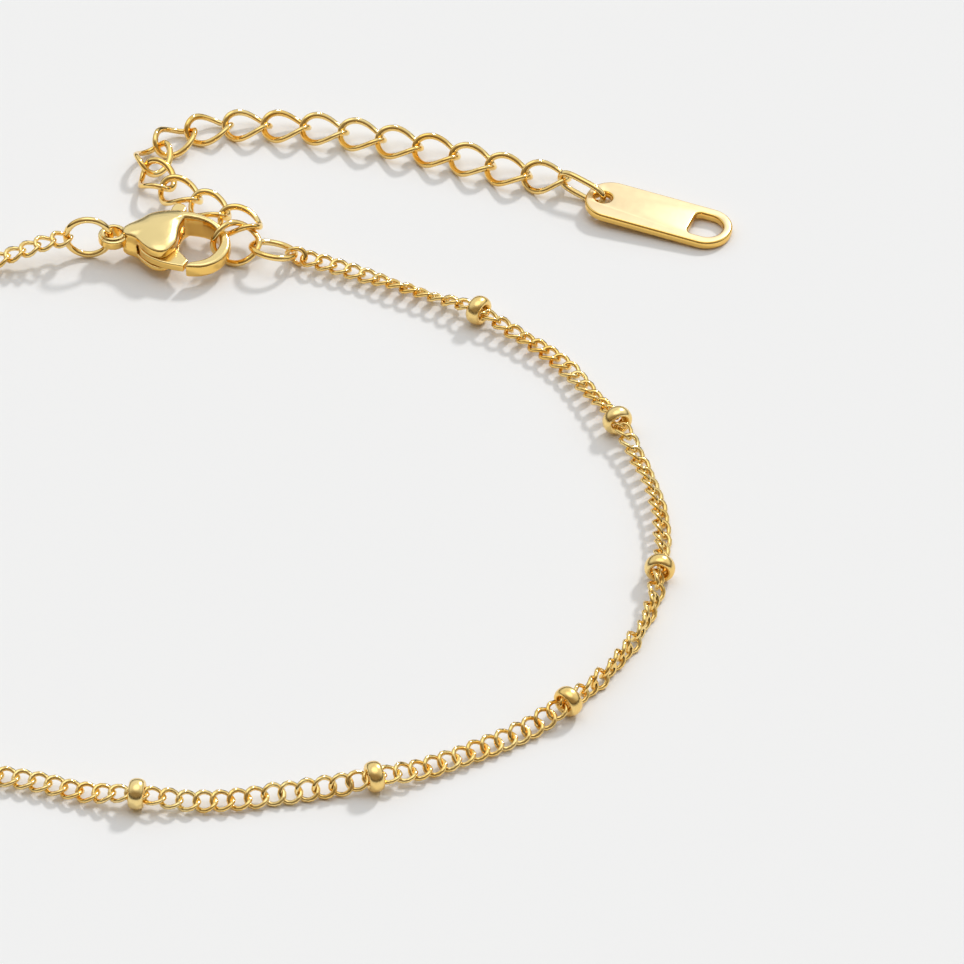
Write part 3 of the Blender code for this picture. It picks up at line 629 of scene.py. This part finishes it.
class ANKLET_OT_beads(bpy.types.Operator):
    """Turn one drilled bead round its axis and put a copy at each bead's place"""

    bl_idname = "anklet.beads"
    bl_label = "Beads"

    def execute(self, context):
        sizes = settings()
        wall = (BEAD_OUTER - sizes.bead_bore) / 2 + sizes.bead_lip
        deselect()
        bpy.ops.mesh.primitive_circle_add(vertices=20, radius=1.0, rotation=(math.radians(90.0), 0.0, 0.0))
        bead = context.object
        bpy.ops.object.transform_apply(location=False, rotation=True, scale=True)
        bpy.ops.object.mode_set(mode="EDIT")
        bpy.ops.mesh.select_all(action="SELECT")
        bpy.ops.transform.resize(value=(sizes.bead_length / 2, 1.0, wall / 2))
        bpy.ops.transform.translate(value=(0.0, 0.0, (BEAD_OUTER - wall) / 2))
        bpy.ops.mesh.spin(steps=44, angle=2 * math.pi, center=(0.0, 0.0, 0.0), axis=(1.0, 0.0, 0.0),
                          use_auto_merge=True)
        bpy.ops.mesh.select_all(action="SELECT")
        bpy.ops.mesh.remove_doubles(threshold=MERGE_DISTANCE)
        bpy.ops.mesh.normals_make_consistent(inside=False)
        bpy.ops.object.mode_set(mode="OBJECT")
        bpy.ops.object.shade_smooth()
        nodes = [f"bead_{k:02d}" for k in range(1, BEAD_COUNT + 1)]
        beads = laid_out(bead, [pose_of(node, flat=True) for node in nodes])
        dress(beads, "beads", bead_gold(), "bead_gold", ROOT_BODY, *nodes)
        return {"FINISHED"}


class ANKLET_OT_rings(bpy.types.Operator):
    """Hang a jump ring in the clasp's eye and another between the chain's end and the extender"""

    bl_idname = "anklet.rings"
    bl_label = "Rings"

    def execute(self, context):
        sizes = settings()
        face = Matrix.Rotation(math.radians(90.0), 4, "Y")
        for node in ("ring_a", "ring_b"):
            ring = torus(sizes.ring_diameter, sizes.link_wire)
            ring.data.transform(pose_of(node, flat=True) @ face)
            dress(ring, f"jump_{node}", wire_gold(), "gold", ROOT_BODY, node)
        return {"FINISHED"}


class ANKLET_OT_extender(bpy.types.Operator):
    """Join the curb links of the extender, the rounder first one on the clasp's hook"""

    bl_idname = "anklet.extender"
    bl_label = "Extender"

    def execute(self, context):
        sizes = settings()
        first = curb_link(sizes.link_length, sizes.first_width, sizes.link_wire, sizes.first_twist)
        first.data.transform(pose_of("extender_link_01"))
        dress(first, "hook_link", wire_gold(), "gold", ROOT_BODY, "extender_link_01")
        nodes = [f"extender_link_{k:02d}" for k in range(2, EXTENDER_LINKS + 1)]
        link = curb_link(sizes.link_length, sizes.link_width, sizes.link_wire, sizes.curb_twist)
        extender = laid_out(link, [pose_of(node) for node in nodes])
        dress(extender, "extender_chain", wire_gold(), "gold", ROOT_BODY, *nodes)
        return {"FINISHED"}


class ANKLET_OT_connector(bpy.types.Operator):
    """Draw a ring out into the flat oval that ties the extender to the tag"""

    bl_idname = "anklet.connector"
    bl_label = "Connector"

    def execute(self, context):
        sizes = settings()
        oval = wire_oval(sizes.connector_length, sizes.connector_height, sizes.link_wire)
        oval.data.transform(pose_of("connector"))
        dress(oval, "oval_connector", wire_gold(), "gold", ROOT_BODY, "connector")
        return {"FINISHED"}


class ANKLET_OT_tag(bpy.types.Operator):
    """Cut the plain tag with its round hole and D-shaped window and round its edges"""

    bl_idname = "anklet.tag"
    bl_label = "Tag"

    def execute(self, context):
        sizes = settings()
        length, width, thickness = sizes.tag_length, sizes.tag_width, sizes.tag_thickness
        tag = self.block(0.0, length, width, thickness)
        self.round_corners(tag, lambda a, b: True, TAG_CORNER, 16)
        deselect()
        bpy.ops.mesh.primitive_cylinder_add(vertices=48, radius=TAG_HOLE_RADIUS, depth=3 * thickness,
                                            location=(TAG_HOLE_INSET - length / 2, 0.0, 0.0))
        self.cut(tag, context.object)
        centre = (length - WINDOW_LENGTH) / 2 - WINDOW_INSET
        flat_side = centre - WINDOW_LENGTH / 2 + 0.1 * MM
        window = self.block(centre, WINDOW_LENGTH, WINDOW_WIDTH, 3 * thickness)
        self.round_corners(window, lambda a, b: a.x > centre, WINDOW_ROUND, 16)
        self.round_corners(window, lambda a, b: a.x < flat_side, WINDOW_CORNER, 8)
        self.cut(tag, window)
        apply_modifier(tag, "BEVEL", width=TAG_EDGE, segments=5, limit_method="ANGLE",
                       angle_limit=math.radians(50.0))
        pick(tag)
        bpy.ops.object.shade_smooth_by_angle(angle=math.radians(35.0))
        tag.data.transform(plate_pose("tag"))
        dress(tag, "plain_tag", tag_gold(), "tag_gold", ROOT_BODY, "tag")
        return {"FINISHED"}

    def block(self, centre, length, width, height):
        deselect()
        bpy.ops.mesh.primitive_cube_add(size=1.0, location=(0.0, 0.0, 0.0))
        block = bpy.context.object
        bpy.ops.object.mode_set(mode="EDIT")
        bpy.ops.mesh.select_all(action="SELECT")
        bpy.ops.transform.resize(value=(length, width, height))
        bpy.ops.transform.translate(value=(centre, 0.0, 0.0))
        bpy.ops.object.mode_set(mode="OBJECT")
        return block

    def round_corners(self, block, test, radius, segments):
        def upright(a, b):
            return abs(a.x - b.x) + abs(a.y - b.y) < MERGE_DISTANCE and test(a, b)

        select_where(block, upright, "EDGE")
        bpy.ops.mesh.bevel(offset=radius, segments=segments, affect="EDGES")
        bpy.ops.object.mode_set(mode="OBJECT")

    def cut(self, thing, cutter):
        apply_modifier(thing, "BOOLEAN", object=cutter, operation="DIFFERENCE", solver="EXACT")
        bpy.data.objects.remove(cutter, do_unlink=True)


def cast_piece(node):
    """A casting: a merged copy of a solid, rebuilt in small squares and its edges softened as by tumbling."""
    sizes = settings()
    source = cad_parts[node]
    piece = bpy.data.objects.new(node, source.data.copy())
    bpy.context.scene.collection.objects.link(piece)
    pick(piece)
    bpy.ops.mesh.customdata_custom_splitnormals_clear()
    bpy.ops.object.mode_set(mode="EDIT")
    bpy.ops.mesh.select_all(action="SELECT")
    bpy.ops.mesh.remove_doubles(threshold=1e-6)
    bpy.ops.object.mode_set(mode="OBJECT")
    apply_modifier(piece, "REMESH", mode="VOXEL", voxel_size=sizes.casting_grain)
    apply_modifier(piece, "SMOOTH", factor=0.5, iterations=sizes.edge_softening)
    pick(piece)
    bpy.ops.object.shade_smooth()
    return piece


class ANKLET_OT_clasp(bpy.types.Operator):
    """Cast the clasp's head, hook and eye in one piece and give its pin a finish"""

    bl_idname = "anklet.clasp"
    bl_label = "Clasp"

    def execute(self, context):
        piece = cast_piece("clasp_body")
        dress(piece, "clasp_casting", clasp_gold(), "clasp_gold", ROOT_BODY, "clasp_body")
        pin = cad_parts["clasp_pin"]
        pin.data.materials.clear()
        pin.data.materials.append(clasp_gold())
        return {"FINISHED"}


class ANKLET_OT_lever(bpy.types.Operator):
    """Cast the clasp's sprung lever with its thumb tab"""

    bl_idname = "anklet.lever"
    bl_label = "Lever"

    def execute(self, context):
        piece = cast_piece("clasp_lever")
        dress(piece, "lever_casting", clasp_gold(), "clasp_gold", LEVER_BODY, "clasp_lever")
        return {"FINISHED"}


class ANKLET_OT_stage(bpy.types.Operator):
    """Set the pale ground, the studio's light and the camera at the photograph's angle"""

    bl_idname = "anklet.stage"
    bl_label = "Stage"

    def execute(self, context):
        self.ground()
        self.sky(context.scene)
        self.key()
        self.camera(context.scene)
        return {"FINISHED"}

    def ground(self):
        deselect()
        bpy.ops.mesh.primitive_plane_add(size=GROUND_SIZE, location=(VIEW_CENTRE.x, VIEW_CENTRE.y, 0.0))
        ground = bpy.context.object
        ground.name = "ground"
        material = bpy.data.materials.new("Studio Ground")
        material.use_nodes = True
        shader = material.node_tree.nodes["Principled BSDF"]
        shader.inputs["Base Color"].default_value = (*finish().ground, 1.0)
        shader.inputs["Roughness"].default_value = 0.8
        shader.inputs["Specular IOR Level"].default_value = 0.2
        ground.data.materials.append(material)

    def sky(self, scene):
        world = bpy.data.worlds.new("Studio")
        scene.world = world
        world.use_nodes = True
        nodes, links = world.node_tree.nodes, world.node_tree.links
        place = nodes.new("ShaderNodeTexCoord")
        parts = nodes.new("ShaderNodeSeparateXYZ")
        ramp = nodes.new("ShaderNodeValToRGB")
        stops = ramp.color_ramp.elements
        stops[0].position = SKY_LEVELS[0][0]
        stops[1].position = SKY_LEVELS[-1][0]
        for position, _ in SKY_LEVELS[1:-1]:
            stops.new(position)
        for stop, (_, level) in zip(stops, SKY_LEVELS):
            stop.color = (*(tint * level for tint in SKY_TINT), 1.0)
        links.new(place.outputs["Generated"], parts.inputs["Vector"])
        links.new(parts.outputs["Z"], ramp.inputs["Fac"])
        toward = nodes.new("ShaderNodeVectorMath")
        toward.operation = "DOT_PRODUCT"
        toward.inputs[1].default_value = WALL_DIRECTION
        wall = nodes.new("ShaderNodeMapRange")
        wall.interpolation_type = "SMOOTHSTEP"
        wall.inputs["From Min"].default_value, wall.inputs["From Max"].default_value = WALL_EDGE
        links.new(place.outputs["Generated"], toward.inputs[0])
        links.new(toward.outputs["Value"], wall.inputs["Value"])
        card = nodes.new("ShaderNodeMix")
        card.data_type = "RGBA"
        card.inputs["A"].default_value = CARD_COLOUR
        card.inputs["B"].default_value = (1.0, 1.0, 1.0, 1.0)
        links.new(wall.outputs["Result"], card.inputs["Factor"])
        lit = nodes.new("ShaderNodeMix")
        lit.data_type = "RGBA"
        lit.blend_type = "MULTIPLY"
        lit.inputs["Factor"].default_value = 1.0
        links.new(ramp.outputs["Color"], lit.inputs["A"])
        links.new(card.outputs["Result"], lit.inputs["B"])
        links.new(lit.outputs["Result"], nodes["Background"].inputs["Color"])
        nodes["Background"].inputs["Strength"].default_value = finish().sky

    def key(self):
        lamp = bpy.data.lights.new("key", "SUN")
        lamp.energy = finish().key
        lamp.angle = KEY_SPREAD
        lamp.color = KEY_COLOUR
        light = bpy.data.objects.new("key", lamp)
        light.rotation_euler = KEY_DIRECTION.to_track_quat("Z", "Y").to_euler()
        light.location = VIEW_CENTRE + KEY_DIRECTION
        bpy.context.scene.collection.objects.link(light)

    def camera(self, scene):
        data = bpy.data.cameras.new("camera")
        data.sensor_width = SENSOR_WIDTH
        data.lens = FOCAL_PIXELS / PHOTO_PIXELS * SENSOR_WIDTH
        data.clip_start = NEAREST_SEEN
        data.clip_end = FARTHEST_SEEN
        camera = bpy.data.objects.new("camera", data)
        back = Vector((0.0, -math.cos(VIEW_HEIGHT), math.sin(VIEW_HEIGHT)))
        camera.location = VIEW_CENTRE + VIEW_DISTANCE * back
        camera.rotation_euler = (math.radians(90.0) - VIEW_HEIGHT, 0.0, 0.0)
        scene.collection.objects.link(camera)
        scene.camera = camera
        scene.view_settings.view_transform = "Standard"


PIECES = (
    ANKLET_OT_fine_chain, ANKLET_OT_beads, ANKLET_OT_rings, ANKLET_OT_extender, ANKLET_OT_connector,
    ANKLET_OT_tag, ANKLET_OT_clasp, ANKLET_OT_lever, ANKLET_OT_stage,
)


class ANKLET_PT_panel(bpy.types.Panel):
    """The anklet's pieces, sizes and finish"""

    bl_label = "Bead Chain Anklet"
    bl_idname = "ANKLET_PT_panel"
    bl_space_type = "VIEW_3D"
    bl_region_type = "UI"
    bl_category = "Anklet"

    def draw(self, context):
        layout = self.layout
        for piece in PIECES:
            layout.operator(piece.bl_idname)
        for group in (context.scene.anklet_sizes, context.scene.anklet_finish):
            box = layout.box()
            for key in group.bl_rna.properties.keys():
                if key not in ("rna_type", "name"):
                    box.prop(group, key)


CLASSES = (AnkletSizes, AnkletFinish, *PIECES, ANKLET_PT_panel)


def register():
    for thing in CLASSES:
        bpy.utils.register_class(thing)
    bpy.types.Scene.anklet_sizes = PointerProperty(type=AnkletSizes)
    bpy.types.Scene.anklet_finish = PointerProperty(type=AnkletFinish)


def unregister():
    del bpy.types.Scene.anklet_finish
    del bpy.types.Scene.anklet_sizes
    for thing in reversed(CLASSES):
        bpy.utils.unregister_class(thing)


def main():
    register()
    bpy.ops.anklet.fine_chain()
    bpy.ops.anklet.beads()
    bpy.ops.anklet.rings()
    bpy.ops.anklet.extender()
    bpy.ops.anklet.connector()
    bpy.ops.anklet.tag()
    bpy.ops.anklet.clasp()
    bpy.ops.anklet.lever()
    bpy.ops.anklet.stage()


if __name__ == "__main__":
    main()
